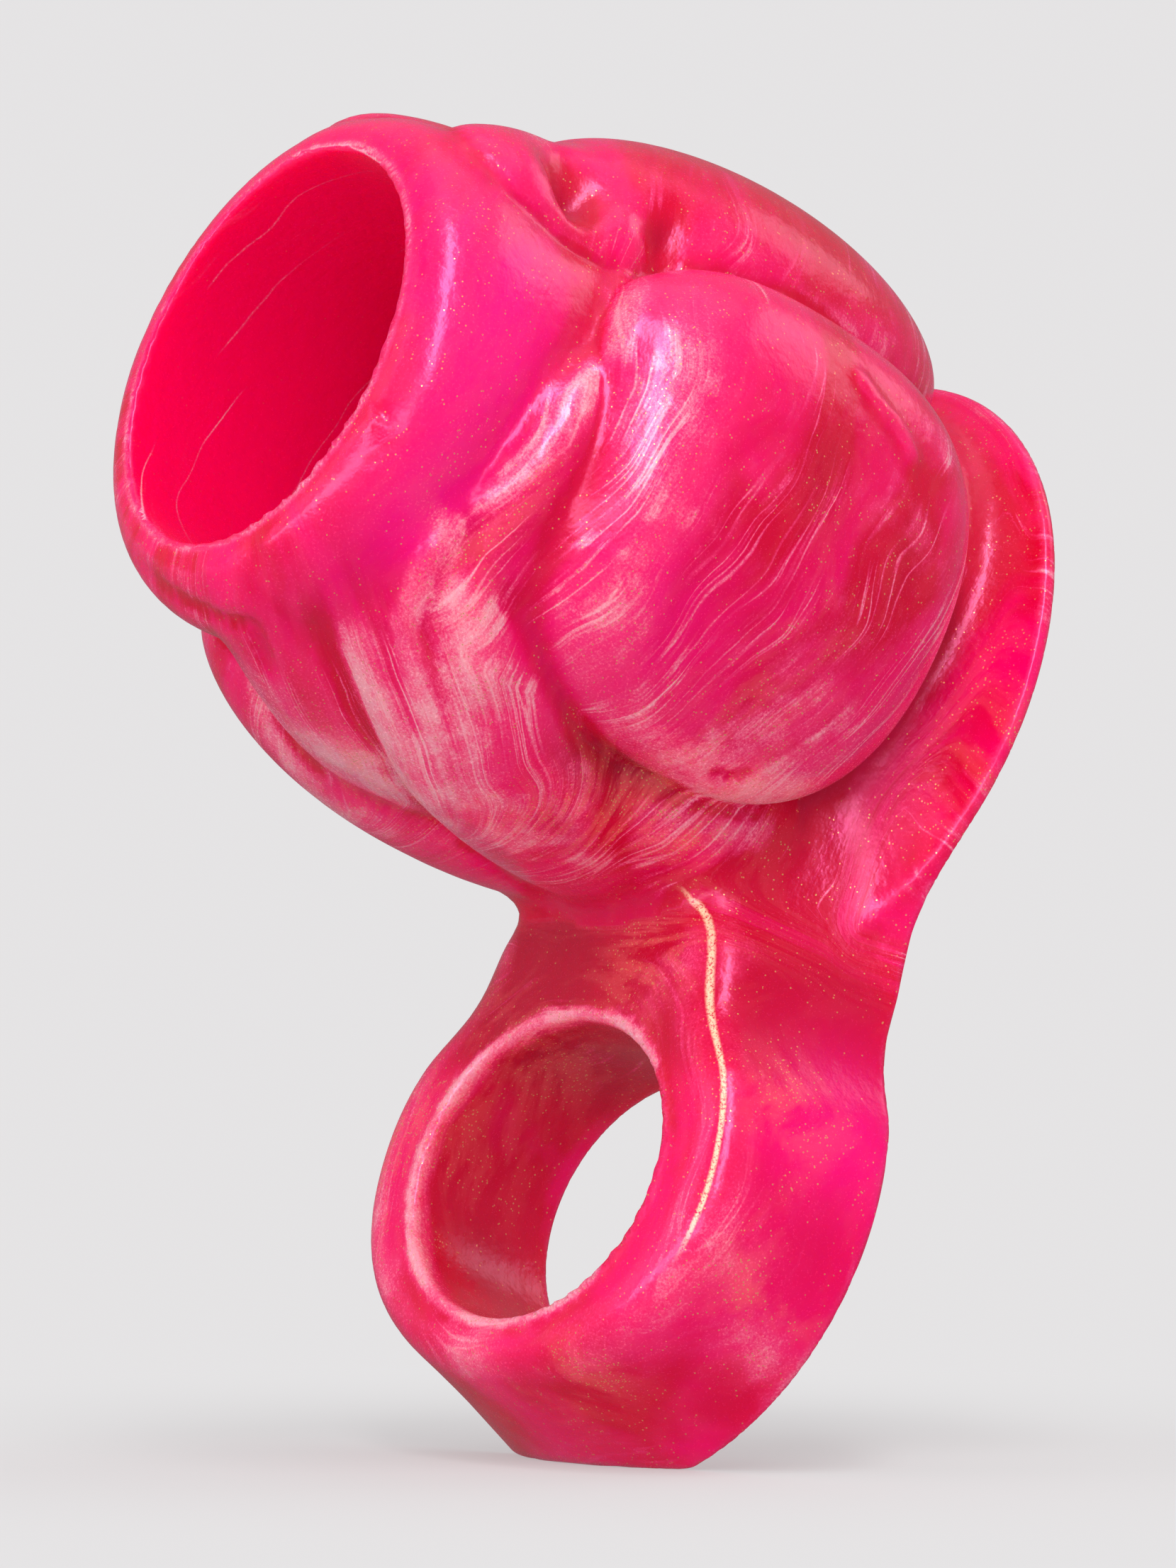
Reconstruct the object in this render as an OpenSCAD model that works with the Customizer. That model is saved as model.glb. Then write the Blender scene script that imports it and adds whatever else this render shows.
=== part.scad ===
// Soft silicone suction cup with a lobed bulb, a flat back plate and a holding ring.
// The part stands on a small flat foot under the ring and leans back.
// It is cast in one piece: the nodes below are its named regions, and they meet face to face.
//
// Cup frame used by the functions: x across, y up the back plate, z along the cup's axis,
// with z = 0 on the flat back. stand() leans that frame back and sets the foot on the floor.

/* [Well and mouth] */
// inner radius of the well
well_r = 19; // [15:0.5:20]
// distance from the flat back to the mouth's lip
cup_len = 70.6; // [66:0.2:76]
// thickness of the cup's closed end
floor_t = 6; // [4:0.5:8]
// fillet radius where the well's wall meets its closed end
well_fillet = 5; // [2:0.5:6]
// outer radius of the collar behind the lip
collar_r = 25.2; // [24:0.1:27]
// length over which the lip rounds over
lip_roll = 7; // [4:0.5:9]
// radius of the collar's slim neck, behind its bulge
collar_back_r = 24.2; // [23:0.1:25]
// how much flatter the collar is at the top
collar_top_flat = 0.7; // [0:0.1:1.5]

/* [Bulb body] */
// radius of the body under the lobes, near the back
body_r = 23; // [22:0.1:24]
// extra body radius towards the mouth
body_grow = 1.8; // [0:0.1:3]
// radius at which every lobe springs from the body
lobe_root_r = 23.3; // [22.5:0.1:24]
// softness of the creases between lobes
crease_soft = 1.2; // [0.6:0.1:2]
// squareness of a normal lobe's outline
lobe_square = 2.3; // [2:0.1:3]

/* [Side dome] */
// direction of the dome, from the +X side towards the top, in degrees
dome_angle = -9; // [-11:1:-7]
// position of the dome's middle along the axis
dome_pos = 31.7; // [31:0.1:32.5]
// half of the dome's width, in degrees
dome_span = 50; // [48:1:51]
// half of the dome's length along the axis
dome_len = 22.2; // [21:0.1:23]
// radius of the dome's crest
dome_crest = 34.9; // [33.5:0.1:35.6]
// squareness of the dome's outline
dome_square = 3; // [2.4:0.1:3.2]
// width of the dome's rounded rim
dome_rim = 7.6; // [6:0.2:12]

/* [Cheek round the dome] */
// direction of the cheek, the low swelling that surrounds the dome
cheek_angle = -28; // [-31:1:-25]
// position of the cheek's middle along the axis
cheek_pos = 35; // [34:0.5:36]
// half of the cheek's width, in degrees
cheek_span = 52; // [49:1:54]
// half of the cheek's length
cheek_len = 25; // [23:0.5:26]
// radius of the cheek's crest
cheek_crest = 29.4; // [28.4:0.1:30.4]

/* [Upper lobe] */
// direction of the upper lobe
upper_angle = 68; // [64:1:72]
// position of its middle along the axis
upper_pos = 31.5; // [30:0.5:33]
// half of its width, in degrees
upper_span = 34; // [31:1:36]
// half of its length
upper_len = 24.5; // [22:0.5:26]
// radius of its crest
upper_crest = 34.3; // [33:0.1:35.5]

/* [Brow behind the collar] */
// direction of the brow
brow_angle = 58; // [54:1:62]
// position of its middle along the axis
brow_pos = 51.5; // [50:0.5:53]
// half of its width, in degrees
brow_span = 22; // [18:1:25]
// half of its length
brow_len = 14; // [12:0.5:15]
// radius of its crest
brow_crest = 29; // [27:0.1:30]

/* [Crown lobe] */
// direction of the crown lobe
crown_angle = 99; // [95:1:103]
// position of its middle along the axis
crown_pos = 48; // [46:0.5:50]
// half of its width, in degrees
crown_span = 24; // [20:1:27]
// half of its length
crown_len = 20; // [18:0.5:22]
// radius of its crest
crown_crest = 28; // [26.5:0.1:29.5]

/* [Lower lobes] */
// direction of the chin, the broad back end of the jowl
chin_angle = -81; // [-83:1:-79]
// position of its middle along the axis
chin_pos = 20.5; // [19.5:0.5:21.5]
// half of its width, in degrees
chin_span = 33; // [30:1:34]
// half of its length
chin_len = 15.5; // [14:0.5:16]
// radius of its crest
chin_crest = 32.9; // [31.5:0.1:33.5]
// direction of the jowl, the lobe that slants up from the chin to the collar
jowl_angle = -70.5; // [-72:0.5:-69]
// position of its middle along the axis
jowl_pos = 42; // [41:0.5:43]
// half of its width, in degrees
jowl_span = 24.5; // [23:0.5:26]
// half of its length
jowl_len = 38; // [36:0.5:39]
// radius of its crest
jowl_crest = 33.8; // [32.5:0.1:34.6]
// how far the jowl slants, in degrees of direction per mm towards the mouth
jowl_slant = 0.97; // [0.85:0.01:1.05]
// direction of the narrow fold beside the jowl
fold_angle = -103; // [-105:1:-101]
// position of its middle along the axis
fold_pos = 42; // [41:0.5:43]
// half of its width, in degrees
fold_span = 22; // [20:1:24]
// half of its length
fold_len = 27; // [25:0.5:28]
// radius of its crest
fold_crest = 31.8; // [30.5:0.1:32.6]
// how far the fold slants, in degrees of direction per mm
fold_slant = 0.8; // [0.65:0.01:0.9]
// direction of the keel, the lobe on the far side of the fold
keel_angle = -121; // [-124:1:-118]
// position of its middle along the axis
keel_pos = 30.5; // [29.5:0.5:31.5]
// half of its width, in degrees
keel_span = 27; // [25:1:29]
// half of its length
keel_len = 28; // [26:0.5:29]
// radius of its crest
keel_crest = 36.2; // [34.5:0.1:36.8]
// how far the keel slants, in degrees of direction per mm
keel_slant = -0.27; // [-0.4:0.01:-0.1]

/* [Far side lobes] */
// direction of the far dome
far_angle = -165; // [-169:1:-161]
// position of its middle along the axis
far_pos = 34; // [32:0.5:36]
// half of its width, in degrees
far_span = 33; // [30:1:36]
// half of its length
far_len = 29; // [26:0.5:30]
// radius of its crest
far_crest = 33.3; // [31.5:0.1:34.5]
// direction of the shoulder lobe, between the far dome and the crown
shoulder_angle = 141; // [137:1:145]
// position of its middle along the axis
shoulder_pos = 37; // [35:0.5:39]
// half of its width, in degrees
shoulder_span = 30; // [27:1:33]
// half of its length
shoulder_len = 28; // [26:0.5:30]
// radius of its crest
shoulder_crest = 31.5; // [30:0.1:33]

/* [Dimples] */
// depth of the large dimple behind the collar
dimple_deep = 3.2; // [0:0.1:3.4]
// depth of the small dimple beside the dome
dimple_small = 1.4; // [0:0.1:2]

/* [Back plate] */
// half width of the plate
plate_rx = 30.8; // [29.5:0.1:32]
// half height of the plate
plate_ry = 30.6; // [29.5:0.1:32]
// how far the plate's centre lies below the cup's axis
plate_drop = 4.2; // [3:0.1:5]
// thickness of the plate's thin edge
plate_edge = 1.3; // [1:0.1:2]
// rise of the saucer from the edge to the body
plate_rise = 5.5; // [4:0.1:6.5]
// width of that rise
saucer_w = 9; // [7:0.5:11]

/* [Holding ring] */
// distance from the cup's axis down to the middle of the ring's hole
ring_drop = 58.3; // [57:0.1:60]
// half width of the hole
hole_rx = 17.4; // [15:0.1:18]
// half height of the hole
hole_ry = 14.4; // [13:0.1:15]
// half width of the ring at the flat back
ring_rx = 29; // [27.5:0.1:30]
// half height of the ring at the flat back
ring_ry = 27.6; // [26.5:0.1:28.5]
// how far the ring's outline is centred above the hole
ring_rise = 1.7; // [1:0.1:2.5]
// thickness of the ring from back to front
ring_t = 16.8; // [15:0.1:18]
// side draft of the ring, mm per mm of thickness
ring_draft = 0.17; // [0.1:0.01:0.26]
// draft at the ring's lower end, mm per mm of thickness
ring_draft_low = 0.38; // [0.2:0.01:0.4]
// softness of the ring's outer front edge
ring_round = 3; // [2:0.5:4]

/* [Neck between plate and ring] */
// half width of the neck at the flat back
neck_w = 23.3; // [22:0.1:24]
// side draft of the neck, mm per mm of thickness
neck_draft = 0.7; // [0.5:0.02:0.72]
// how fast the neck's front widens towards the ring
neck_flare = 0.036; // [0.02:0.002:0.04]
// height, below the cup's axis, at which the neck's front is at its plain width
neck_waist = 32; // [30:0.5:33]

/* [Stance] */
// angle between the cup's axis and level, which is how far the back leans
lean = 20.3; // [17:0.1:23]
// depth of the flat worn across the ring's lowest point to make the foot
foot_cut = 2.9; // [2:0.1:3.5]

/* [Output] */
// which named region to build

/* [Hidden] */

// arc length of one radian on the body, used to square up a lobe's outline
arc_r = 30;
// the body starts to grow at this height, over this length
body_from = 10;
body_over = 30;
// the body turns into the collar from this height on, over this length
collar_from = 47;
collar_over = 12;
// the collar's top starts to flatten at this height, over this length
flat_from = 56;
flat_over = 8;
// where the lobed wall stops and the collar starts
collar_z = 57;
// gap that keeps two curved skins apart inside the casting
skin_gap = 0.3;

// borders between neighbouring lobes: pairs of a height and the border's direction there
border_dome_upper = [[6, 33], [16, 37], [30, 39], [42, 39], [57, 37]];
border_upper_crown = [[6, 89], [20, 94], [32, 98], [44, 96], [57, 79]];
border_crown_shoulder = [[6, 104], [20, 108], [34, 112], [57, 118]];
border_shoulder_far = [[6, 163], [57, 166]];
border_far_keel = [[6, 217], [57, 217]];
border_keel_fold = [[6, 253], [24, 251], [36, 253.5], [44, 254.5], [57, 245]];
border_fold_jowl = [[6, 263], [24, 259.5], [32, 261], [44, 271], [57, 285]];
border_jowl_dome = [[6, 305], [14, 308], [28, 303], [38, 306], [57, 326]];

// direction, height, half width and half length of the two dimples
large_dimple_at = [49, 55, 4.2, 2.7];
small_dimple_at = [45, 46.3, 2.6, 1.8];

// softness of the joint between the bulb and the plate
plate_soft = 1.5;
// the neck's side turns into the ring's from this far below the cup's axis on, over this length
blend_from = 35;
blend_over = 14;
// how far the ring's outline sinks towards its front, mm per mm of thickness
ring_slip = 0.08;
// distance from the hole's middle at which the lower draft is reached
draft_reach = 20;
// mean radius of the ring, which turns the ellipse's measure into about a millimetre
ring_mean_r = 27;

// how a lobe is rolled: slant, squareness of its outline, width of its rounded rim (0 takes the
// whole lobe), roundness of that rim, gentle crown inside it, widening of the rim towards the
// mouth, and how far the crest falls by the mouth end
plain_roll = [0, lobe_square, 0, 2, 0, 0, 0];
dome_roll = [0.12, dome_square, dome_rim, 2.5, 2.8, 1, 0];
cheek_roll = [0, 2.6, 16, 2, 0, 0, 0];
chin_roll = [0, lobe_square, 8, 2, 1.5, 0, 0];
jowl_roll = [jowl_slant, 2.8, 7.5, 2, 1.2, 0, 19];
fold_roll = [fold_slant, 2.4, 9, 2, 1, 0, 5];
keel_roll = [keel_slant, lobe_square, 0, 2, 0, 0, 0];

axis_h = (ring_drop - ring_rise + ring_ry) * cos(lean) - foot_cut;
foot_back = axis_h * tan(lean);
foot_half = 2.6;

// shades of the casting
pink_a = [0.90, 0.11, 0.38];
pink_b = [0.95, 0.24, 0.47];
pink_c = [0.84, 0.07, 0.32];

function clamp(v, lo, hi) = min(max(v, lo), hi);
function ease(v) = v * v * (3 - 2 * v);
function soft_max(a, b, k) =
    let(h = clamp(0.5 + 0.5 * (a - b) / k, 0, 1))
    b * (1 - h) + a * h + k * h * (1 - h);
function turn(a) = a - 360 * round(a / 360);

// ---- outside of the bulb: radius at a height and direction, in the cup frame

function collar_radius(z) =
    let(mid = cup_len - lip_roll)
    let(lip_r = well_r + 1)
    let(t = clamp((z - mid) / lip_roll, 0, 1))
    let(g = (z - mid) / lip_roll)
    z > mid
        ? lip_r + (collar_r - lip_r) * sqrt(1 - t * t)
        : collar_back_r + (collar_r - collar_back_r) * exp(-g * g);

function body_radius(z, a) =
    let(low = body_r + body_grow * clamp((z - body_from) / body_over, 0, 1))
    let(w = ease(clamp((z - collar_from) / collar_over, 0, 1)))
    let(flat = collar_top_flat * clamp(sin(a), 0, 1) * clamp((z - flat_from) / flat_over, 0, 1))
    low * (1 - w) + collar_radius(z) * w - flat;

// one swelling: it climbs over its rounded rim, then crowns gently to its crest
function lobe_radius(z, a, at, pos, span, len, crest, roll) =
    let(up = z - pos)
    let(side = turn(a - at - roll[0] * up) * PI / 180 * arc_r)
    let(wide = span * PI / 180 * arc_r)
    let(rho = pow(pow(abs(side / wide), roll[1]) + pow(abs(up / len), roll[1]), 1 / roll[1]))
    let(forward = pow(clamp(up / len, 0, 1), 1.5))
    let(rim = (roll[2] > 0 ? roll[2] : min(wide, len)) * (1 + roll[5] * forward))
    let(climb = clamp((1 - rho) * min(wide, len) / rim, 0, 1))
    let(rise = crest - roll[4] - lobe_root_r - roll[6] * forward)
    let(rolled = pow(1 - pow(1 - climb, roll[3]), 1 / roll[3]))
    rho < 1
        ? lobe_root_r + rise * rolled + roll[4] * (1 - rho * rho)
        : lobe_root_r - 20 * (rho - 1);

function dimple(z, a, at, deep) =
    let(s = turn(a - at[0]) * PI / 180 * arc_r / at[2])
    let(t = (z - at[1]) / at[3])
    deep * exp(-s * s - t * t);

function join(r, v) = soft_max(r, v, crease_soft);

function bulb_radius(z, a) =
    let(r0 = body_radius(z, a))
    let(r1 = join(r0, lobe_radius(z, a, cheek_angle, cheek_pos, cheek_span, cheek_len, cheek_crest,
        cheek_roll)))
    let(r2 = join(r1, lobe_radius(z, a, dome_angle, dome_pos, dome_span, dome_len, dome_crest,
        dome_roll)))
    let(r3 = join(r2, lobe_radius(z, a, upper_angle, upper_pos, upper_span, upper_len, upper_crest,
        plain_roll)))
    let(r4 = join(r3, lobe_radius(z, a, brow_angle, brow_pos, brow_span, brow_len, brow_crest,
        plain_roll)))
    let(r5 = join(r4, lobe_radius(z, a, crown_angle, crown_pos, crown_span, crown_len, crown_crest,
        plain_roll)))
    let(r6 = join(r5, lobe_radius(z, a, chin_angle, chin_pos, chin_span, chin_len, chin_crest,
        chin_roll)))
    let(r7 = join(r6, lobe_radius(z, a, jowl_angle, jowl_pos, jowl_span, jowl_len, jowl_crest,
        jowl_roll)))
    let(r8 = join(r7, lobe_radius(z, a, fold_angle, fold_pos, fold_span, fold_len, fold_crest,
        fold_roll)))
    let(r9 = join(r8, lobe_radius(z, a, keel_angle, keel_pos, keel_span, keel_len, keel_crest,
        keel_roll)))
    let(r10 = join(r9, lobe_radius(z, a, shoulder_angle, shoulder_pos, shoulder_span,
        shoulder_len, shoulder_crest, plain_roll)))
    let(r11 = join(r10, lobe_radius(z, a, far_angle, far_pos, far_span, far_len, far_crest,
        plain_roll)))
    r11 - dimple(z, a, large_dimple_at, dimple_deep) - dimple(z, a, small_dimple_at, dimple_small);

// radius of the thin saucer plate, whose centre lies below the cup's axis
function plate_radius(z, a) =
    let(qa = pow(cos(a) / plate_rx, 2) + pow(sin(a) / plate_ry, 2))
    let(qb = 2 * sin(a) * plate_drop / pow(plate_ry, 2))
    let(qc = pow(plate_drop / plate_ry, 2) - 1)
    let(edge = (-qb + sqrt(qb * qb - 4 * qa * qc)) / (2 * qa))
    z <= plate_edge
        ? edge
        : edge - saucer_w * pow((z - plate_edge) / plate_rise, 1 / 1.6);

function skin_radius(z, a) = soft_max(bulb_radius(z, a), plate_radius(z, a), plate_soft);

// inside of the well: a plain round wall with a filleted closed end and a rolled lip
function well_radius(z) =
    let(rise = clamp((z - floor_t) / well_fillet, 0, 1))
    let(lip = clamp((z - cup_len + 0.8) / 0.8, 0, 1))
    well_r - well_fillet * (1 - sqrt(1 - (1 - rise) * (1 - rise))) + 0.6 * lip * lip;

function polar(r, a, z) = [r * cos(a), r * sin(a), z];

// ---- ring and neck: a slab measured from the middle of the hole

function ring_side(p) =
    let(n = clamp(p[2], 0, ring_t))
    let(far = min(abs(p[1] + ring_drop) / draft_reach, 1))
    let(rx = ring_rx - ring_draft * n)
    let(ry = ring_ry - (ring_draft + (ring_draft_low - ring_draft) * far) * n)
    let(cy = -ring_drop + ring_rise - ring_slip * n)
    (norm([p[0] / rx, (p[1] - cy) / ry]) - 1) * ring_mean_r;

function neck_side(p) =
    let(n = clamp(p[2], 0, ring_t))
    let(flare = neck_flare * n * clamp(-neck_waist - p[1], -10, 20))
    (abs(p[0]) - neck_w + neck_draft * n - flare) * 0.85;

// one slab whose side turns gradually from the neck's into the ring's
function slab_solid(p) =
    let(w = ease(clamp((-blend_from - p[1]) / blend_over, 0, 1)))
    soft_max(neck_side(p) * (1 - w) + ring_side(p) * w, p[2] - ring_t - 0.3, ring_round);

function outside_bulb(p) =
    skin_radius(min(p[2], ring_t), atan2(p[1], p[0])) + skin_gap - norm([p[0], p[1]]);

function slab_field(p) = max(slab_solid(p), outside_bulb(p));

function slab_point(r, a, z) = [r * cos(a), r * sin(a) - ring_drop, z];
function hole_radius(a) = 1 / norm([cos(a) / hole_rx, sin(a) / hole_ry]);

// outermost radius at which the slab is still solid, found by halving
function slab_reach(a, z, lo, hi, left) =
    let(mid = (lo + hi) / 2)
    left == 0
        ? lo
        : slab_field(slab_point(mid, a, z)) < 0
            ? slab_reach(a, z, mid, hi, left - 1)
            : slab_reach(a, z, lo, mid, left - 1);

// distance out to a point just inside the first surface met when walking outwards
function slab_edge(a, z) =
    let(start = hole_radius(a) + 1)
    let(steps = [for (r = [start : 1.5 : 62]) if (slab_field(slab_point(r, a, z)) > 0) r])
    slab_reach(a, z, max(start, steps[0] - 1.5), steps[0], 14);

// ---- generic closed shells

// rows of points wound inwards to outwards: outer and inner are lists of rows of equal length
module shell(outer, inner, closed) {
    rows = len(outer);
    cols = len(outer[0]);
    last = closed ? cols - 1 : cols - 2;
    base = rows * cols;
    pts = concat([for (row = outer) each row], [for (row = inner) each row]);
    sides = [
        for (i = [0 : rows - 2], j = [0 : last])
            let(k = (j + 1) % cols)
            let(a = i * cols + j)
            let(b = i * cols + k)
            let(c = a + cols)
            let(d = b + cols)
            each [[a, c, d], [a, d, b], [base + a, base + d, base + c], [base + a, base + b, base + d]]
    ];
    caps = [
        for (j = [0 : last])
            let(k = (j + 1) % cols)
            let(t = (rows - 1) * cols)
            each [
                [j, k, base + k], [j, base + k, base + j],
                [t + j, base + t + k, t + k], [t + j, base + t + j, base + t + k]
            ]
    ];
    ends = closed ? [] : [
        for (i = [0 : rows - 2])
            let(a = i * cols)
            let(b = a + cols - 1)
            each [
                [a, base + a, base + a + cols], [a, base + a + cols, a + cols],
                [b, base + b + cols, base + b], [b, b + cols, base + b + cols]
            ]
    ];
    polyhedron(points = pts, faces = concat(sides, caps, ends), convexity = 8);
}

// a solid stack of rows, closed by a fan at both ends
module stack(rows_pts, low_mid, top_mid) {
    rows = len(rows_pts);
    cols = len(rows_pts[0]);
    n = rows * cols;
    t = n - cols;
    pts = concat([for (row = rows_pts) each row], [low_mid, top_mid]);
    sides = [
        for (i = [0 : rows - 2], j = [0 : cols - 1])
            let(k = (j + 1) % cols)
            let(a = i * cols + j)
            let(b = i * cols + k)
            each [[a, a + cols, b + cols], [a, b + cols, b]]
    ];
    fans = [for (j = [0 : cols - 1]) let(k = (j + 1) % cols) each [[j, k, n], [t + j, n + 1, t + k]]];
    polyhedron(points = pts, faces = concat(sides, fans), convexity = 8);
}

// leans the cup frame back and sets the foot on the floor, middle at the origin
module stand() {
    translate([0, foot_back + foot_half, axis_h])
        rotate([90 - lean, 0, 0])
            children();
}

// floor height of a point in the cup frame, and the point moved up to the floor
function height(p) = p[1] * cos(lean) + p[2] * sin(lean) + axis_h;
function on_floor(p) =
    let(h = min(height(p), 0))
    [p[0], p[1] - h * cos(lean), p[2] - h * sin(lean)];

// ---- the lobed wall

wall_rows = 20;
function wall_z(i) = floor_t + (collar_z - floor_t) * i / (wall_rows - 1);

// columns crowd towards both borders, where the creases are
function spread(t) = 0.55 * t + 0.45 * (0.5 - 0.5 * cos(180 * t));

// turns moves the low border back by whole turns, so that it lies below the high one
module wall_sector(low, high, cols, turns = 0) {
    angle = function (z, j)
        let(s = spread(j / cols))
        (lookup(z, low) - 360 * turns) * (1 - s) + lookup(z, high) * s;
    outer = [
        for (i = [0 : wall_rows - 1])
            let(z = wall_z(i))
            [for (j = [0 : cols]) polar(skin_radius(z, angle(z, j)), angle(z, j), z)]
    ];
    inner = [
        for (i = [0 : wall_rows - 1])
            let(z = wall_z(i))
            [for (j = [0 : cols]) polar(well_radius(z), angle(z, j), z)]
    ];
    stand() shell(outer, inner, false);
}

module side_dome() {
    color(pink_a) wall_sector(border_jowl_dome, border_dome_upper, 18, 1);
}

module upper_lobe() {
    color(pink_b) wall_sector(border_dome_upper, border_upper_crown, 12);
}

module crown_lobe() {
    color(pink_c) wall_sector(border_upper_crown, border_crown_shoulder, 7);
}

module shoulder_lobe() {
    color(pink_a) wall_sector(border_crown_shoulder, border_shoulder_far, 9);
}

module far_dome() {
    color(pink_b) wall_sector(border_shoulder_far, border_far_keel, 9);
}

module keel_lobe() {
    color(pink_a) wall_sector(border_far_keel, border_keel_fold, 8);
}

module fold_lobe() {
    color(pink_c) wall_sector(border_keel_fold, border_fold_jowl, 6);
}

module jowl_lobe() {
    color(pink_b) wall_sector(border_fold_jowl, border_jowl_dome, 10);
}

// ---- the collar and its rolled lip

collar_cols = 84;
module mouth_collar() {
    steps = [0, 0.2, 0.4, 0.58, 0.72, 0.83, 0.91, 0.96, 0.99, 1];
    outer = [
        for (t = steps)
            let(z = collar_z + (cup_len - collar_z) * t)
            [for (j = [0 : collar_cols - 1]) let(a = j * 360 / collar_cols) polar(skin_radius(z, a), a, z)]
    ];
    inner = [
        for (t = steps)
            let(z = collar_z + (cup_len - collar_z) * t)
            [for (j = [0 : collar_cols - 1]) polar(well_radius(z), j * 360 / collar_cols, z)]
    ];
    color(pink_a) stand() shell(outer, inner, true);
}

// ---- the flat back plate with its thin saucer edge and the closed end of the cup

plate_cols = 84;
module back_plate() {
    heights = [0, plate_edge, plate_edge + 0.5, plate_edge + 1.4, plate_edge + 2.8, floor_t];
    rows = [
        for (z = heights)
            [for (j = [0 : plate_cols - 1]) let(a = j * 360 / plate_cols) polar(skin_radius(z, a), a, z)]
    ];
    color(pink_c) stand() stack(rows, [0, 0, 0], [0, 0, floor_t]);
}

// ---- neck and ring: two sectors of one slab around the hole

slab_z = [0, 3, 6, 9, 11.5, 13.5, 15, 16.1, ring_t];
function ring_point(a, z) = on_floor(slab_point(slab_edge(a, z), a, z));
function hole_point(a, z) = slab_point(hole_radius(a), a, z);

// half width of the slab at a height up the plate, on one side, found by halving
function side_reach(u, z, side, lo = 0, hi = 40, left = 14) =
    let(mid = (lo + hi) / 2)
    left == 0
        ? lo
        : slab_solid([side * mid, u, z]) < 0
            ? side_reach(u, z, side, mid, hi, left - 1)
            : side_reach(u, z, side, lo, mid, left - 1);

// how far up the plate the neck's side reaches before it meets the bulb or the plate
function corner_up(z, side, lo = -42, hi = -15, left = 14) =
    let(mid = (lo + hi) / 2)
    left == 0
        ? lo
        : outside_bulb([side * side_reach(mid, z, side), mid, z]) < 0
            ? corner_up(z, side, mid, hi, left - 1)
            : corner_up(z, side, lo, mid, left - 1);

side_cols = 6;
top_cols = 20;
neck_low = 38;
neck_high = 142;

// points up one side of the neck, from its border with the ring to the corner
function neck_side_row(z, side) =
    let(a = side > 0 ? neck_low : neck_high)
    let(start = ring_point(a, z))
    let(corner = corner_up(z, side))
    [
        start,
        for (i = [1 : side_cols])
            let(u = start[1] + (corner - start[1]) * i / side_cols)
            [side * side_reach(u, z, side), u, z]
    ];

// the neck's outline at one depth: up its right side, along the bulb, down its left side
function neck_row(z) =
    let(right = neck_side_row(z, 1))
    let(left = neck_side_row(z, -1))
    let(first = atan2(right[side_cols][1], right[side_cols][0]))
    let(last = atan2(left[side_cols][1], left[side_cols][0]))
    let(top = [
        for (i = [1 : top_cols - 1])
            let(a = first + (last - first) * i / top_cols)
            polar(skin_radius(z, a) + skin_gap, a, z)
    ])
    concat(right, top, [for (i = [0 : side_cols]) left[side_cols - i]]);

module neck() {
    outer = [for (z = slab_z) neck_row(z)];
    cols = len(outer[0]) - 1;
    inner = [
        for (row = outer)
            [
                for (j = [0 : cols])
                    let(p = row[j])
                    let(a = j == 0 ? neck_low : j == cols ? neck_high : atan2(p[1] + ring_drop, p[0]))
                    hole_point(a, p[2])
            ]
    ];
    color(pink_b) stand() shell(outer, inner, false);
}

ring_cols = 60;
module holding_ring() {
    angle = function (j) neck_high + (360 + neck_low - neck_high) * j / ring_cols;
    outer = [for (z = slab_z) [for (j = [0 : ring_cols]) ring_point(angle(j), z)]];
    inner = [for (z = slab_z) [for (j = [0 : ring_cols]) hole_point(angle(j), z)]];
    color(pink_a) stand() shell(outer, inner, false);
}

mouth_collar();
side_dome();
upper_lobe();
crown_lobe();
shoulder_lobe();
far_dome();
keel_lobe();
fold_lobe();
jowl_lobe();
back_plate();
neck();
holding_ring();
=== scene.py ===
"""Looks of a one-piece silicone suction cup with a lobed bulb, a flat back plate and a holding ring.

The casting is one continuous skin, so it is built as one level surface of a solid field. The field
works in the cup frame, in millimetres: x across, u up the back plate, n along the cup's axis, with
n = 0 on the flat back. place() leans that frame back and stands it on the foot.
"""

import math

import bpy
import numpy as np
from mathutils import Matrix, Vector


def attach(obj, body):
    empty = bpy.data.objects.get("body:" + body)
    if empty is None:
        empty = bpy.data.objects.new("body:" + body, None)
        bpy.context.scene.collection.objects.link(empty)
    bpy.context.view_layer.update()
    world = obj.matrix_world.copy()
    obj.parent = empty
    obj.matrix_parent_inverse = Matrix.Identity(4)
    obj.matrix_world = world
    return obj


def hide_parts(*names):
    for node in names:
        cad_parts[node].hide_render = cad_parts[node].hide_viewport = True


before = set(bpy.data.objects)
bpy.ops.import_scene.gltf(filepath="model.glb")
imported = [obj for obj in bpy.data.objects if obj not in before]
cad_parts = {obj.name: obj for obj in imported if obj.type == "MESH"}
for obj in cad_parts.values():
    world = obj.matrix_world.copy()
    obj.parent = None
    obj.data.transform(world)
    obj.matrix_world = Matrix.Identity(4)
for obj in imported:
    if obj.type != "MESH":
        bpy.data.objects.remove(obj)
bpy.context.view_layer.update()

MM = 0.001
TURN = 2 * math.pi

# ---------------------------------------------------------------- sizes
# They follow the CAD part. The drafts and rounding of the ring and neck are fitted closer to the photo.

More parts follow.
